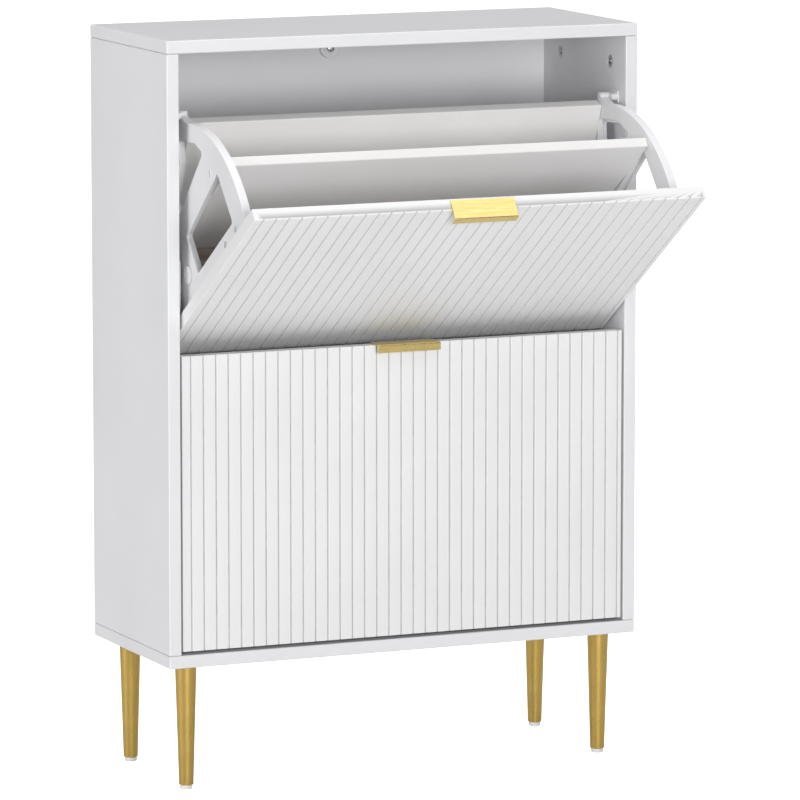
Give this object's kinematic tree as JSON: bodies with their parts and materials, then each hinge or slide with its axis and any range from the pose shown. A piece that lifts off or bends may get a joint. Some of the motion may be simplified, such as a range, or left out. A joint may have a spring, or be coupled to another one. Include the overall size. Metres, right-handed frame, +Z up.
{
  "type": "shoe cabinet",
  "caption": "Slim white shoe cabinet with fluted tip-out doors, each carrying a two-row shoe tray on pivoting side brackets, gold edge pulls and tapered gold legs.",
  "frame": {"origin": "on the floor, under the middle of the whole object's box as it stands, upper drawer open on its stops", "axes": "+Z up, front towards -Y, +X to the cabinet's right as seen from the front"},
  "size_m": [0.6, 0.4732, 0.883],
  "materials": {
    "carcass": "white satin laminate on board",
    "fluted_door": "white satin lacquer on a fluted board",
    "tray_board": "white satin laminate on board",
    "seat_board": "brown wood-grain laminate",
    "back_panel": "white lacquered hardboard",
    "bracket": "white moulded plastic",
    "gold": "satin gold anodised",
    "foot": "white glide",
    "zinc": "zinc plated",
    "plastic": "white moulded plastic"
  },
  "bodies": {
    "carcass": {"back_panel": "back_panel", "body_screw_left_front": "zinc", "body_screw_left_rear": "zinc", "body_screw_right_front": "zinc", "body_screw_right_rear": "zinc", "bottom_panel": "carcass", "cam_bolt_left_front": "zinc", "cam_bolt_left_rear": "zinc", "cam_bolt_right_front": "zinc", "cam_bolt_right_rear": "zinc", "cam_lock_left_front": "zinc", "cam_lock_left_rear": "zinc", "cam_lock_right_front": "zinc", "cam_lock_right_rear": "zinc", "leg_foot_front_left": "foot", "leg_foot_front_right": "foot", "leg_foot_rear_left": "foot", "leg_foot_rear_right": "foot", "leg_front_left": "gold", "leg_front_right": "gold", "leg_rear_left": "gold", "leg_rear_right": "gold", "lower_hinge_mount_left": "plastic", "lower_hinge_mount_right": "plastic", "lower_stop_peg_left": "plastic", "lower_stop_peg_right": "plastic", "side_panel_left": "carcass", "side_panel_right": "carcass", "top_panel": "carcass", "upper_hinge_mount_left": "plastic", "upper_hinge_mount_right": "plastic", "upper_stop_peg_left": "plastic", "upper_stop_peg_right": "plastic", "wall_boss": "plastic", "wall_screw": "zinc"},
    "upper_drawer": {"upper_bracket_cap_left": "plastic", "upper_bracket_cap_right": "plastic", "upper_bracket_left": "bracket", "upper_bracket_right": "bracket", "upper_divider": "tray_board", "upper_door": "fluted_door", "upper_handle": "gold", "upper_rear_board": "tray_board", "upper_seat_board": "seat_board"},
    "lower_drawer": {"lower_bracket_cap_left": "plastic", "lower_bracket_cap_right": "plastic", "lower_bracket_left": "bracket", "lower_bracket_right": "bracket", "lower_divider": "tray_board", "lower_door": "fluted_door", "lower_handle": "gold", "lower_rear_board": "tray_board", "lower_seat_board": "seat_board"}
  },
  "joints": [
    {"name": "upper_drawer_tilt", "type": "hinge", "parent": "carcass", "child": "upper_drawer", "pos_m": [0, 0.0388, 0.5726], "axis": [1, 0, 0], "range_deg": [-56, 0]},
    {"name": "lower_drawer_tilt", "type": "hinge", "parent": "carcass", "child": "lower_drawer", "pos_m": [0, 0.0192, 0.257], "axis": [1, 0, 0], "range_deg": [0, 56]}
  ]
}
